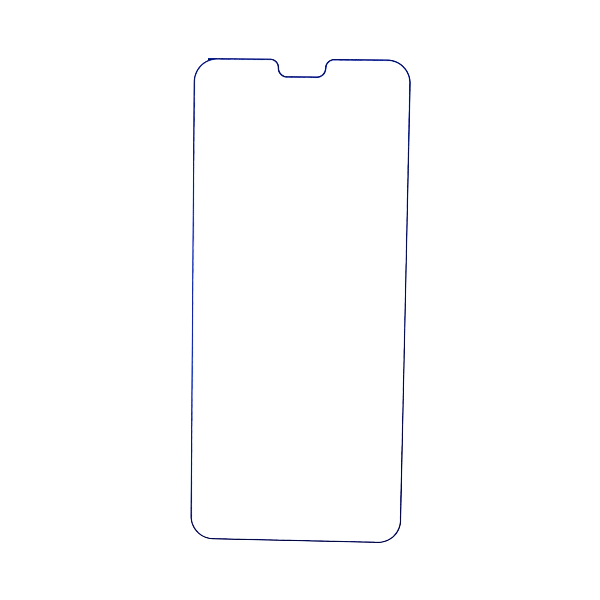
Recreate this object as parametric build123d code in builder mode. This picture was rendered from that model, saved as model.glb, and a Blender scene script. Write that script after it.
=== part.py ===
from build123d import *
import os

# Clear screen protector for a phone whose display has a notch in its top edge.
# It is one sheet of toughened glass, lying on its adhesive side. X runs across the phone, Y along it
# with the notch at +Y, and Z up, away from the display. The origin is the middle of the underside.

# Sheet
sheet_width = 67.5
sheet_length = 152.3
sheet_thickness = 0.33
corner_radius = 7.4

# Notch in the top edge, round the earpiece and the front camera
notch_width = 14.1
notch_depth = 5.35
notch_root_radius = 2.45
notch_side_straight = 0.05

# Section of the edge, from the underside up: a small bevel, an upright wall, then a rolled shoulder
edge_bevel = 0.05
edge_wall = 0.08
edge_roll_width = 0.53

# Nib at the top left corner: the cut of the top edge runs straight on past the start of the corner's arc
nib_overrun = 2.96

# Sizes that follow from these
top_y = sheet_length / 2
notch_mouth_radius = notch_depth - notch_root_radius - notch_side_straight
rim_depth = 2 * edge_roll_width

# Plane across the top edge where the top left corner's arc begins: its X points outwards and its Y up
edge_plane = Plane(
    origin=(corner_radius - sheet_width / 2, top_y, 0),
    x_dir=(0, 1, 0),
    z_dir=(1, 0, 0),
)


def edge_section(depth):
    """Section of the sheet's edge on edge_plane, from the outline inwards to a depth."""
    wall_top = (0, edge_bevel + edge_wall)
    roll_start = (-edge_roll_width, sheet_thickness)
    with BuildSketch(edge_plane) as section:
        with BuildLine():
            TangentArc(roll_start, wall_top, tangent=(1, 0))
            Polyline(
                wall_top,
                (0, edge_bevel),
                (-edge_bevel, 0),
                (-depth, 0),
                (-depth, sheet_thickness),
                roll_start,
            )
        make_face()
    return section.sketch


# Outline: a rounded rectangle, with a notch whose sides flow into the top edge
with BuildSketch() as outline:
    RectangleRounded(sheet_width, sheet_length, corner_radius)
    with Locations((0, top_y)):
        RectangleRounded(notch_width, 2 * notch_depth, notch_root_radius, mode=Mode.SUBTRACT)
    notch_mouth = outline.vertices(Select.LAST).group_by(Axis.Y)[-1]
    fillet(notch_mouth, notch_mouth_radius)

# The flat of the sheet, inside the rim
with BuildSketch() as flat:
    add(outline.sketch)
    offset(amount=-rim_depth, mode=Mode.REPLACE)

with BuildPart() as screen_protector:
    extrude(flat.sketch, amount=sheet_thickness)
    # The rim carries one edge section round the corners and through the notch
    sweep(edge_section(rim_depth), path=outline.wire())
    # The nib is the same section drawn straight on, rooted in the corner
    extrude(edge_section(corner_radius), amount=-nib_overrun)

screen_protector.part.label = "screen_protector"
os.makedirs("parts", exist_ok=True)
export_step(screen_protector.part, "parts/screen_protector.step")
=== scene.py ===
import math

import bmesh
import bpy
import numpy as np
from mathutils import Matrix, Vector


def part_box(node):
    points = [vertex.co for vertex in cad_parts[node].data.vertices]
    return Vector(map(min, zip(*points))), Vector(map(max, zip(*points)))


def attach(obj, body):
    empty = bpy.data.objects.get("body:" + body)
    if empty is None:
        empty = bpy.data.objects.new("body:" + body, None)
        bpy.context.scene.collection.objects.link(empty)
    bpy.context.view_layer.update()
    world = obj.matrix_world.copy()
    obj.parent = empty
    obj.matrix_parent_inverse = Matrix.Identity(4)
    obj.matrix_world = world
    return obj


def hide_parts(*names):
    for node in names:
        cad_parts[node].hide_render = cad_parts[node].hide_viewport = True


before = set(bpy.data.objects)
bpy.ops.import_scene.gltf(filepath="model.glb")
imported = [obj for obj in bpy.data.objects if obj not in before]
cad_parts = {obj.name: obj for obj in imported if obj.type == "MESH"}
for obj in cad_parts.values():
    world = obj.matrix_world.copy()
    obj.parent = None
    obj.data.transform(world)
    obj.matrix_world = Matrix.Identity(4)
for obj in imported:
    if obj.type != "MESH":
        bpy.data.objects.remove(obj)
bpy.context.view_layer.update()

# A clear glass screen protector with a ground blue edge, lying on a white floor and seen from above.
# Sizes are in metres.

# Sheet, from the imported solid
sheet_low, sheet_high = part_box("screen_protector")
SIDE_X = sheet_high.x
END_Y = sheet_high.y
THICKNESS = sheet_high.z - sheet_low.z

# Outline, as the solid has it
CORNER_RADIUS = 0.0074
NOTCH_HALF_WIDTH = 0.00705
NOTCH_DEPTH = 0.00535
NOTCH_ROOT_RADIUS = 0.00245
NOTCH_SIDE_STRAIGHT = 0.00005
NOTCH_MOUTH_RADIUS = NOTCH_DEPTH - NOTCH_ROOT_RADIUS - NOTCH_SIDE_STRAIGHT
NIB_OVERRUN = 0.00296

# Edge section, from below: a small bevel, an upright wall, then a shoulder rolled into the upper face.
# The margin is the inset at which both faces go on as one flat polygon.
EDGE_BEVEL = 0.00005
EDGE_WALL = 0.00008
ROLL_WIDTH = 0.00053
FLAT_MARGIN = 0.001

# Mesh: how finely the outline and its roll are divided, the least angle of a crease, and the weld
ARC_POINTS = 49
RUN_SPACING = 0.00025
ROLL_POINTS = 9
CREASE_ANGLE = math.radians(30)
WELD_DISTANCE = 1e-7

# What the edge's material reads from the mesh: a value at each point, and a map
DEPTH_VALUE = "blue_depth"
RUN_MAP = "edge_run"

# Layout for baked textures, on a map of the name that the export looks for: the scale of the two faces,
# the gap left between pieces of the layout, and the number of strips that the edge is cut into
BAKE_MAP = "OFBake"
BAKE_FACE_SCALE = 5.9
BAKE_MARGIN = 0.006
BAKE_STRIPS = 8

# The grind of the roll wanders along the edge: waves round the outline, share of the roll's width, phase.
# The slow wave makes it a little wider along the two ends than along the sides.
GRIND_WAVES = (
    (2, 0.075, 0.63),
    (37, 0.020, 0.4),
    (83, 0.020, 2.1),
    (211, 0.020, 4.0),
)

# Colours
WHITE = (1.0, 1.0, 1.0, 1.0)
GLASS_TINT = (0.955, 0.980, 1.0, 1.0)
# Edge blues with painted light: the lower blue is painted shade at the bottom, the upper one painted light
# at the top
SHADED_BOTTOM_BLUE = (0.001, 0.007, 0.37, 1.0)
LIT_TOP_BLUE = (0.002, 0.040, 0.72, 1.0)
NAVY_SHADE = (0.30, 0.04, 0.06, 1.0)
# The left blue and its core are painted light, brightest half way along the left side
LIT_LEFT_BLUE = (0.002, 0.115, 0.88, 1.0)
LIT_LEFT_CORE = (0.001, 0.003, 0.27, 1.0)
FLOOR_GREY = (0.35, 0.35, 0.35, 1.0)
GAP_GREY = (0.06, 0.09, 0.14, 1.0)
PANEL_GREY = (0.44, 0.52, 0.64, 1.0)
OVERHEAD_WHITE = (2.0, 2.0, 2.0, 1.0)

# Painted light and shade on the edge: its blue climbs from painted shade at a start below the middle to
# painted light at the top. A painted pool of light makes it brightest half way along the left side: the
# middle of that stretch, how far it reaches, and the shares of that reach where it starts and is full.
LIGHT_CLIMB_START = -0.025
LEFT_LIGHT_MIDDLE = (-SIDE_X, -0.005, 0.0)
LEFT_LIGHT_REACH = (0.035, 0.08, 0.035)
LEFT_LIGHT_RISE = (0.1, 0.8)

# Grain of the finishes: coarse and fine scale of a noise, then what it is taken to, as a range, or as the
# strength and height of a bump. The haze is in the glass, and the speckle and the marks are on the edge.
HAZE_SCALES = (60.0, 300.0)
HAZE_ROUGHNESS = (0.0, 0.03)
HAZE_BUMP = (0.1, 0.00002)
SPECKLE_SCALES = (250.0, 900.0)
SPECKLE_SHADE = (0.6, 1.4)
MARK_STRETCH = (400.0, 12000.0, 1.0)
MARK_SCALES = (1.0, 3.0)
MARK_ROUGHNESS = (0.3, 0.6)
MARK_BUMP = (0.2, 0.00001)

# Gloss of the glass and of the edge
GLASS_IOR = 1.5
EDGE_SPECULAR = 0.01

# Studio: a floor, a dome with leaning panels round it, and a soft lamp at the upper left. The panels fade
# in and out between sines of the height. The lean is in panels from the horizon to straight up.
FLOOR_REACH = 0.8
FLOOR_DROP = 0.00004
FLOOR_GLOW = 0.74
PANEL_HEIGHTS = (0.10, 0.40, 0.75, 0.90)
PANEL_COUNT = 7
PANEL_LEAN = 1.0
HALF_PANEL = 0.5
PANEL_EDGES = (0.235, 0.265)
LAMP_PLACE = (-1.8, 0.66, 2.3)
LAMP_SIZE = 1.5
LAMP_WATTS = 25.0

# Camera, placed by the outline in the photo. The shift allows for a picture that is a little off its
# middle, and the narrow pixel filter gives the photo's crisp fine line.
CAMERA_PLACE = (0.00204, 0.01233, 0.25205)
CAMERA_TURN = (-3.110, 1.404, 0.782)
CAMERA_LENS_MM = 48.0
CAMERA_SHIFT = (0.0233, 0.0139)
PIXEL_FILTER = 0.7


def outline_arcs():
    """The outline's arcs, anticlockwise from the bottom left corner.

    Each has its centre, radius, start and turn in degrees, and whether it lies under the nib. The corners
    and the notch's mouth turn left by a quarter, and the notch's roots turn right by one. The top left
    corner is two arcs, because its first stretch lies under the nib: up to the angle whose sine is the
    overrun over the corner's radius.
    """
    corner_x = SIDE_X - CORNER_RADIUS
    corner_y = END_Y - CORNER_RADIUS
    mouth_x = NOTCH_HALF_WIDTH + NOTCH_MOUTH_RADIUS
    mouth_y = END_Y - NOTCH_MOUTH_RADIUS
    root_x = NOTCH_HALF_WIDTH - NOTCH_ROOT_RADIUS
    root_y = END_Y - NOTCH_DEPTH + NOTCH_ROOT_RADIUS
    nib_turn = math.degrees(math.asin(NIB_OVERRUN / CORNER_RADIUS))
    return (
        ((-corner_x, -corner_y), CORNER_RADIUS, 180, 90, False),
        ((corner_x, -corner_y), CORNER_RADIUS, 270, 90, False),
        ((corner_x, corner_y), CORNER_RADIUS, 0, 90, False),
        ((mouth_x, mouth_y), NOTCH_MOUTH_RADIUS, 90, 90, False),
        ((root_x, root_y), NOTCH_ROOT_RADIUS, 0, -90, False),
        ((-root_x, root_y), NOTCH_ROOT_RADIUS, 270, -90, False),
        ((-mouth_x, mouth_y), NOTCH_MOUTH_RADIUS, 0, 90, False),
        ((-corner_x, corner_y), CORNER_RADIUS, 90, nib_turn, True),
        ((-corner_x, corner_y), CORNER_RADIUS, 90 + nib_turn, 90 - nib_turn, False),
    )


def outline_path():
    """Points of the outline, their outward normals, and the nib's lift at each point.

    An arc's points are its centre plus its radius times (cos, sin), and its normals are (cos, sin), turned
    round where the arc bends inwards. A straight run goes evenly from one arc's end to the next one's
    start, with the normal of that end. The lift carries the points under the nib up to the line of the
    top edge.
    """
    arcs = []
    for centre, radius, start, turn, on_nib in outline_arcs():
        angle = np.radians(start + turn * np.linspace(0, 1, ARC_POINTS))
        ray = np.stack([np.cos(angle), np.sin(angle)], axis=1)
        outward = math.copysign(1, turn) * ray
        arcs.append((np.array(centre) + radius * ray, outward, np.full(ARC_POINTS, on_nib)))
    points, normals, under_nib = [], [], []
    for (arc, outward, on_nib), (following, _, _) in zip(arcs, arcs[1:] + arcs[:1]):
        gap = following[0] - arc[-1]
        steps = int(np.hypot(*gap) / RUN_SPACING)
        share = np.arange(1, steps)[:, None] / max(steps, 1)
        points += [arc, arc[-1] + share * gap]
        normals += [outward, np.repeat(outward[-1:], len(share), axis=0)]
        under_nib += [on_nib, np.zeros(len(share), bool)]
    points = np.concatenate(points)
    lift = np.where(np.concatenate(under_nib), END_Y - points[:, 1], 0.0)
    return points, np.concatenate(normals), lift


def edge_profile():
    """Inset, height and depth of blue of each ring across the edge, from below round to the upper face.

    The roll is an arc tangent to the upper face: at an angle t from upright its inset is the roll's width
    less radius times sin t, and its height is the thickness less radius times (1 - cos t). The blue is deep
    on the bevel, thins out up the wall, and is deep again half way across the roll. Towards the roll's two
    borders it thins out with the square of the way there.
    """
    drop = THICKNESS - EDGE_BEVEL - EDGE_WALL
    radius = (ROLL_WIDTH**2 + drop**2) / (2 * drop)
    angle = np.linspace(math.asin(ROLL_WIDTH / radius), 0, ROLL_POINTS)
    roll_inset = ROLL_WIDTH - radius * np.sin(angle)
    from_middle = 2 * roll_inset / ROLL_WIDTH - 1
    inset = np.concatenate([[FLAT_MARGIN, EDGE_BEVEL, 0.0], roll_inset, [FLAT_MARGIN]])
    height = np.concatenate([[0.0, 0.0, EDGE_BEVEL], THICKNESS - radius * (1 - np.cos(angle)), [THICKNESS]])
    depth = np.concatenate([[0.0, 1.0, 1.0], 1 - from_middle**2, [0.0]])
    return inset, height, depth


def sheet_surface():
    """Rings of points round the sheet, shaped (across, along, 3), and the distance along the outline.

    Each ring is the outline moved in along its normals by the profile's inset, at the profile's height. On
    the edge the inset is swelled by the grind's waves, and the nib's lift fades to nothing across the roll.
    """
    points, normals, lift = outline_path()
    inset, height, _ = edge_profile()
    steps = np.linalg.norm(np.diff(points, axis=0, append=points[:1]), axis=1)
    along = np.concatenate([[0.0], np.cumsum(steps)])
    turn = 2 * math.pi * along[:-1] / along[-1]
    wander = sum(size * np.sin(waves * turn + phase) for waves, size, phase in GRIND_WAVES)
    on_edge = (inset <= ROLL_WIDTH)[:, None]
    reach = inset[:, None] * (1 + wander * on_edge)
    fading_lift = np.clip(1 - inset / ROLL_WIDTH, 0, 1)[:, None] * lift
    x = points[:, 0] - reach * normals[:, 0]
    y = points[:, 1] - reach * normals[:, 1] + fading_lift
    z = sheet_low.z + np.repeat(height[:, None], len(points), axis=1)
    return np.stack([x, y, z], axis=2), along


def quad_corners(on_rings):
    """What the rings' points hold, at the four corners of each quad between neighbouring rings."""
    ahead = np.roll(on_rings, -1, axis=1)
    return np.stack([on_rings[:-1], ahead[:-1], ahead[1:], on_rings[1:]], axis=2)


def edge_run(along):
    """Distance along the outline and across the edge, in metres, at the four corners of each quad."""
    inset, height, _ = edge_profile()
    across = np.concatenate([[0.0], np.cumsum(np.hypot(np.diff(inset), np.diff(height)))])
    run = np.stack([along[:-1], along[1:], along[1:], along[:-1]], axis=1)
    cross = np.stack([across[:-1], across[:-1], across[1:], across[1:]], axis=1)
    shape = (len(cross), len(run), 4)
    return np.stack([np.broadcast_to(run, shape), np.broadcast_to(cross[:, None], shape)], axis=3)


def baked_layout(flat_places, run):
    """Places on a unit square for baked textures: the upper face, the underside, then the edge in strips.

    A face keeps its x and y, times one scale, and the underside's x is turned round. On a strip, u is the
    share of the way across the edge, and v is the way along from the strip's own start. A strip's last quad
    runs on past its end, so a third margin is left for it.
    """
    face_width = 2 * SIDE_X * BAKE_FACE_SCALE
    upper = (flat_places + (SIDE_X, END_Y)) * BAKE_FACE_SCALE + BAKE_MARGIN
    first_strip = 2 * face_width + 3 * BAKE_MARGIN
    under = np.stack([first_strip - upper[..., 0], upper[..., 1]], axis=2)
    along, across = run[..., 0], run[..., 1]
    strip_run = along / along.max() * BAKE_STRIPS
    strip = np.floor(strip_run[..., :1])
    strip_share = (across - across[1].min()) / np.ptp(across[1:-1])
    strip_pitch = (1 - first_strip) / BAKE_STRIPS
    strip_length = 1 - 3 * BAKE_MARGIN
    u = first_strip + strip * strip_pitch + strip_share * (strip_pitch - BAKE_MARGIN)
    v = BAKE_MARGIN + (strip_run - strip) * strip_length
    quads = np.stack([u, v], axis=3)
    quads[0] = quad_corners(under)[0]
    quads[-1] = quad_corners(upper)[-1]
    return np.concatenate([quads.reshape(-1, 2), upper[-1], under[0, ::-1]])


def build_sheet(glass, ground_edge):
    """The sheet as one closed mesh: quads between neighbouring rings, and a flat face in each end ring.

    One UV map runs along the outline and across the edge, and the other is for baked textures. The points
    where the nib's two ends meet the corner in the same place are welded.
    """
    rings, along = sheet_surface()
    flat_places = rings[..., :2]
    across_count, along_count = rings.shape[:2]
    index = np.arange(across_count * along_count).reshape(across_count, along_count)
    faces = quad_corners(index).reshape(-1, 4).tolist() + [index[-1].tolist(), index[0, ::-1].tolist()]
    mesh = bpy.data.meshes.new("screen_protector_sheet")
    mesh.from_pydata(rings.reshape(-1, 3), [], faces)

    ring_band = np.repeat(np.arange(across_count - 1), along_count)
    on_edge = (ring_band > 0) & (ring_band < across_count - 2)
    mesh.materials.append(glass)
    mesh.materials.append(ground_edge)
    mesh.polygons.foreach_set("material_index", np.concatenate([on_edge, [False, False]]).astype(np.int32))
    mesh.polygons.foreach_set("use_smooth", np.ones(len(faces), bool))

    _, _, depth = edge_profile()
    blue_depth = mesh.attributes.new(DEPTH_VALUE, "FLOAT", "POINT")
    blue_depth.data.foreach_set("value", np.repeat(depth, along_count))
    run = edge_run(along)
    run_map = np.concatenate([run.reshape(-1, 2), flat_places[-1], flat_places[0, ::-1]])
    mesh.uv_layers.new(name=RUN_MAP).data.foreach_set("uv", run_map.ravel())
    mesh.uv_layers.new(name=BAKE_MAP).data.foreach_set("uv", baked_layout(flat_places, run).ravel())

    weld = bmesh.new()
    weld.from_mesh(mesh)
    bmesh.ops.remove_doubles(weld, verts=weld.verts, dist=WELD_DISTANCE)
    weld.to_mesh(mesh)
    weld.free()
    mesh.set_sharp_from_angle(angle=CREASE_ANGLE)
    mesh.validate()

    sheet = bpy.data.objects.new("glass_sheet", mesh)
    bpy.context.scene.collection.objects.link(sheet)
    return sheet


def new_material(name):
    """An empty node material, with its node tree's nodes and links."""
    material = bpy.data.materials.new(name)
    material.use_nodes = True
    material.node_tree.nodes.clear()
    return material, material.node_tree.nodes, material.node_tree.links


def grain_group():
    """Shader group: coarse and fine noise on a position, added in equal parts into one mask from 0 to 1."""
    group = bpy.data.node_groups.new("glass_grain", "ShaderNodeTree")
    group.interface.new_socket("Position", in_out="INPUT", socket_type="NodeSocketVector")
    group.interface.new_socket("Coarse Scale", in_out="INPUT", socket_type="NodeSocketFloat")
    group.interface.new_socket("Fine Scale", in_out="INPUT", socket_type="NodeSocketFloat")
    group.interface.new_socket("Mask", in_out="OUTPUT", socket_type="NodeSocketFloat")
    nodes, links = group.nodes, group.links
    entry = nodes.new("NodeGroupInput")
    leave = nodes.new("NodeGroupOutput")
    mean = nodes.new("ShaderNodeMix")
    for scale, side in (("Coarse Scale", "A"), ("Fine Scale", "B")):
        noise = nodes.new("ShaderNodeTexNoise")
        links.new(entry.outputs["Position"], noise.inputs["Vector"])
        links.new(entry.outputs[scale], noise.inputs["Scale"])
        links.new(noise.outputs["Fac"], mean.inputs[side])
    links.new(mean.outputs["Result"], leave.inputs["Mask"])
    return group


def feed(links, entry, value):
    """Set an input to a plain value, or link it to a socket."""
    if isinstance(value, bpy.types.NodeSocket):
        links.new(value, entry)
    else:
        entry.default_value = value


def grain_mask(nodes, links, grain, position, scales):
    """The grain group on a position, with its own coarse and fine scale."""
    node = nodes.new("ShaderNodeGroup")
    node.node_tree = grain
    node.inputs["Coarse Scale"].default_value, node.inputs["Fine Scale"].default_value = scales
    links.new(position, node.inputs["Position"])
    return node.outputs["Mask"]


def map_range(nodes, links, source, given=(0.0, 1.0), wanted=(0.0, 1.0), smooth=False):
    """A source's given range taken to the wanted range, evenly or in a smooth step."""
    node = nodes.new("ShaderNodeMapRange")
    node.interpolation_type = "SMOOTHSTEP" if smooth else "LINEAR"
    for name, value in zip(("From Min", "From Max", "To Min", "To Max"), given + wanted):
        node.inputs[name].default_value = value
    links.new(source, node.inputs["Value"])
    return node.outputs["Result"]


def mix_colours(nodes, links, first, second, factor, blend="MIX"):
    """Two colours mixed by a factor. Each of the three is a socket or a plain value."""
    node = nodes.new("ShaderNodeMix")
    node.data_type = "RGBA"
    node.blend_type = blend
    for name, value in (("A", first), ("B", second), ("Factor", factor)):
        feed(links, node.inputs[name], value)
    return node.outputs["Result"]


def calculate(nodes, links, operation, *values):
    """The result of one math operation on the values, each a socket or a plain number."""
    node = nodes.new("ShaderNodeMath")
    node.operation = operation
    for entry, value in zip(node.inputs, values):
        feed(links, entry, value)
    return node.outputs["Value"]


def bumped(nodes, links, height, strength, distance):
    """A normal bumped by a height."""
    node = nodes.new("ShaderNodeBump")
    node.inputs["Strength"].default_value = strength
    node.inputs["Distance"].default_value = distance
    links.new(height, node.inputs["Height"])
    return node.outputs["Normal"]


def choose_shader(nodes, links, factor, first, second):
    """The first shader where the factor is 0, and the second where it is 1."""
    node = nodes.new("ShaderNodeMixShader")
    for entry, source in zip(node.inputs, (factor, first, second)):
        links.new(source, entry)
    return node.outputs["Shader"]


def put_out(nodes, links, shader, kind="ShaderNodeOutputMaterial"):
    """The shader as the surface of a material, or of a world by its own kind of output."""
    output = nodes.new(kind)
    links.new(shader, output.inputs["Surface"])


def clear_glass(grain):
    """Polished clear glass with a faint waviness and a trace of haze.

    Light for the floor goes straight through.
    """
    material, nodes, links = new_material("clear_glass")
    position = nodes.new("ShaderNodeTexCoord").outputs["Object"]
    haze = grain_mask(nodes, links, grain, position, HAZE_SCALES)
    glass = nodes.new("ShaderNodeBsdfPrincipled")
    glass.inputs["Base Color"].default_value = GLASS_TINT
    glass.inputs["Transmission Weight"].default_value = 1.0
    glass.inputs["IOR"].default_value = GLASS_IOR
    links.new(map_range(nodes, links, haze, wanted=HAZE_ROUGHNESS), glass.inputs["Roughness"])
    links.new(bumped(nodes, links, haze, *HAZE_BUMP), glass.inputs["Normal"])
    rays = nodes.new("ShaderNodeLightPath").outputs
    lighting = calculate(nodes, links, "MAXIMUM", rays["Is Shadow Ray"], rays["Is Diffuse Ray"])
    through = nodes.new("ShaderNodeBsdfTransparent").outputs["BSDF"]
    put_out(nodes, links, choose_shader(nodes, links, lighting, glass.outputs["BSDF"], through))
    return material


def ground_edge_blue(grain):
    """The ground edge: navy with brighter blue borders, painted light at the top and left, marked by the
    grind.
    """
    material, nodes, links = new_material("ground_edge_blue")
    position = nodes.new("ShaderNodeTexCoord").outputs["Object"]

    # Along the edge: painted shade at the bottom, painted light at the top and, brighter still, on the left
    place = nodes.new("ShaderNodeSeparateXYZ")
    links.new(position, place.inputs["Vector"])
    top_light_share = map_range(nodes, links, place.outputs["Y"], given=(LIGHT_CLIMB_START, END_Y))
    lit_from_above = mix_colours(nodes, links, SHADED_BOTTOM_BLUE, LIT_TOP_BLUE, top_light_share)
    middle = nodes.new("ShaderNodeMapping")
    middle.vector_type = "TEXTURE"
    middle.inputs["Location"].default_value = LEFT_LIGHT_MIDDLE
    middle.inputs["Scale"].default_value = LEFT_LIGHT_REACH
    links.new(position, middle.inputs["Vector"])
    left_light_pool = nodes.new("ShaderNodeTexGradient")
    left_light_pool.gradient_type = "SPHERICAL"
    links.new(middle.outputs["Vector"], left_light_pool.inputs["Vector"])
    left_light_share = map_range(nodes, links, left_light_pool.outputs["Fac"], given=LEFT_LIGHT_RISE, smooth=True)

    # Across the edge: a navy core between two blue borders, both with painted light on the left, all of it
    # dappled
    border = mix_colours(nodes, links, lit_from_above, LIT_LEFT_BLUE, left_light_share)
    navy = mix_colours(nodes, links, lit_from_above, NAVY_SHADE, 1.0, "MULTIPLY")
    core = mix_colours(nodes, links, navy, LIT_LEFT_CORE, left_light_share)
    depth = nodes.new("ShaderNodeAttribute")
    depth.attribute_name = DEPTH_VALUE
    blue = mix_colours(nodes, links, border, core, depth.outputs["Fac"])
    speckle = grain_mask(nodes, links, grain, position, SPECKLE_SCALES)
    shade = map_range(nodes, links, speckle, wanted=SPECKLE_SHADE)
    dappled = mix_colours(nodes, links, blue, shade, 1.0, "MULTIPLY")

    # Grind marks: noise on the edge's own map, stretched along the run
    run = nodes.new("ShaderNodeUVMap")
    run.uv_map = RUN_MAP
    stretch = nodes.new("ShaderNodeMapping")
    stretch.inputs["Scale"].default_value = MARK_STRETCH
    links.new(run.outputs["UV"], stretch.inputs["Vector"])
    marks = grain_mask(nodes, links, grain, stretch.outputs["Vector"], MARK_SCALES)

    edge = nodes.new("ShaderNodeBsdfPrincipled")
    edge.inputs["Specular IOR Level"].default_value = EDGE_SPECULAR
    links.new(dappled, edge.inputs["Base Color"])
    links.new(map_range(nodes, links, marks, wanted=MARK_ROUGHNESS), edge.inputs["Roughness"])
    links.new(bumped(nodes, links, marks, *MARK_BUMP), edge.inputs["Normal"])
    put_out(nodes, links, edge.outputs["BSDF"])
    return material


def seen_ray(nodes, links):
    """1 on a ray that the eye follows: from the camera, mirrored or through glass. Otherwise 0."""
    path = nodes.new("ShaderNodeLightPath")
    seen = path.outputs["Is Camera Ray"]
    for kind in ("Is Glossy Ray", "Is Transmission Ray"):
        seen = calculate(nodes, links, "MAXIMUM", seen, path.outputs[kind])
    return seen


def build_floor():
    """A wide flat floor just under the sheet.

    It is grey, so that it throws little light back up, and glows to the eye, so that it comes out white.
    """
    material, nodes, links = new_material("white_floor")
    lit = nodes.new("ShaderNodeBsdfDiffuse")
    lit.inputs["Color"].default_value = FLOOR_GREY
    glow = nodes.new("ShaderNodeEmission")
    strength = map_range(nodes, links, seen_ray(nodes, links), wanted=(0.0, FLOOR_GLOW))
    links.new(strength, glow.inputs["Strength"])
    both = nodes.new("ShaderNodeAddShader")
    links.new(lit.outputs["BSDF"], both.inputs[0])
    links.new(glow.outputs["Emission"], both.inputs[1])
    put_out(nodes, links, both.outputs["Shader"])

    mesh = bpy.data.meshes.new("floor")
    square = np.array([[-1, -1], [1, -1], [1, 1], [-1, 1]]) * FLOOR_REACH
    mesh.from_pydata(np.column_stack([square, np.full(4, sheet_low.z - FLOOR_DROP)]), [], [[0, 1, 2, 3]])
    mesh.materials.append(material)
    floor = bpy.data.objects.new("floor", mesh)
    bpy.context.scene.collection.objects.link(floor)


def height_ramp(nodes, links, height, grey):
    """Colour of the dome by the sine of the height: white low down, then a grey, then bright overhead."""
    node = nodes.new("ShaderNodeValToRGB")
    stops = node.color_ramp.elements
    stops[0].color = WHITE
    for place, colour in zip(PANEL_HEIGHTS, (WHITE, grey, grey, OVERHEAD_WHITE)):
        stops.new(place).color = colour
    links.new(height, node.inputs["Fac"])
    return node.outputs["Color"]


def light_studio():
    """A dome with panels round it, for the glass to mirror, and a soft lamp.

    The bearing times the number of panels, plus a lean with the height, goes up from the middle of a gap to
    the middle of a panel and down again, and the panel's edge is a smooth step half way. Behind the floor
    the camera itself sees plain white.
    """
    world = bpy.data.worlds.new("white_studio")
    world.use_nodes = True
    nodes, links = world.node_tree.nodes, world.node_tree.links
    nodes.clear()
    direction = nodes.new("ShaderNodeTexCoord").outputs["Generated"]
    place = nodes.new("ShaderNodeSeparateXYZ")
    links.new(direction, place.inputs["Vector"])
    gaps = height_ramp(nodes, links, place.outputs["Z"], GAP_GREY)
    panels = height_ramp(nodes, links, place.outputs["Z"], PANEL_GREY)

    bearing = nodes.new("ShaderNodeTexGradient")
    bearing.gradient_type = "RADIAL"
    links.new(direction, bearing.inputs["Vector"])
    round_dome = calculate(nodes, links, "MULTIPLY", bearing.outputs["Fac"], PANEL_COUNT)
    leaning = calculate(nodes, links, "MULTIPLY_ADD", place.outputs["Z"], PANEL_LEAN, round_dome)
    up_and_down = calculate(nodes, links, "PINGPONG", leaning, HALF_PANEL)
    on_panel = map_range(nodes, links, up_and_down, given=PANEL_EDGES, smooth=True)

    mirrored = nodes.new("ShaderNodeBackground")
    links.new(mix_colours(nodes, links, gaps, panels, on_panel), mirrored.inputs["Color"])
    plain = nodes.new("ShaderNodeBackground")
    plain.inputs["Color"].default_value = WHITE
    camera_ray = nodes.new("ShaderNodeLightPath").outputs["Is Camera Ray"]
    backgrounds = (mirrored.outputs["Background"], plain.outputs["Background"])
    put_out(nodes, links, choose_shader(nodes, links, camera_ray, *backgrounds), "ShaderNodeOutputWorld")
    bpy.context.scene.world = world

    lamp = bpy.data.lights.new("left_softbox", "AREA")
    lamp.size = LAMP_SIZE
    lamp.energy = LAMP_WATTS
    softbox = bpy.data.objects.new("left_softbox", lamp)
    softbox.location = LAMP_PLACE
    softbox.rotation_euler = Vector(LAMP_PLACE).to_track_quat("Z", "Y").to_euler()
    softbox.visible_transmission = False
    bpy.context.scene.collection.objects.link(softbox)


def place_camera():
    """The scene's camera, at its place and turn."""
    camera = bpy.data.objects.new("camera", bpy.data.cameras.new("camera"))
    camera.data.lens = CAMERA_LENS_MM
    camera.data.shift_x, camera.data.shift_y = CAMERA_SHIFT
    camera.location = CAMERA_PLACE
    camera.rotation_euler = [math.radians(angle) for angle in CAMERA_TURN]
    bpy.context.scene.collection.objects.link(camera)
    bpy.context.scene.camera = camera


grain = grain_group()
sheet = build_sheet(clear_glass(grain), ground_edge_blue(grain))
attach(sheet, "root")
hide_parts("screen_protector")
build_floor()
light_studio()
place_camera()
bpy.context.scene.view_settings.view_transform = "Standard"
bpy.context.scene.cycles.filter_width = PIXEL_FILTER
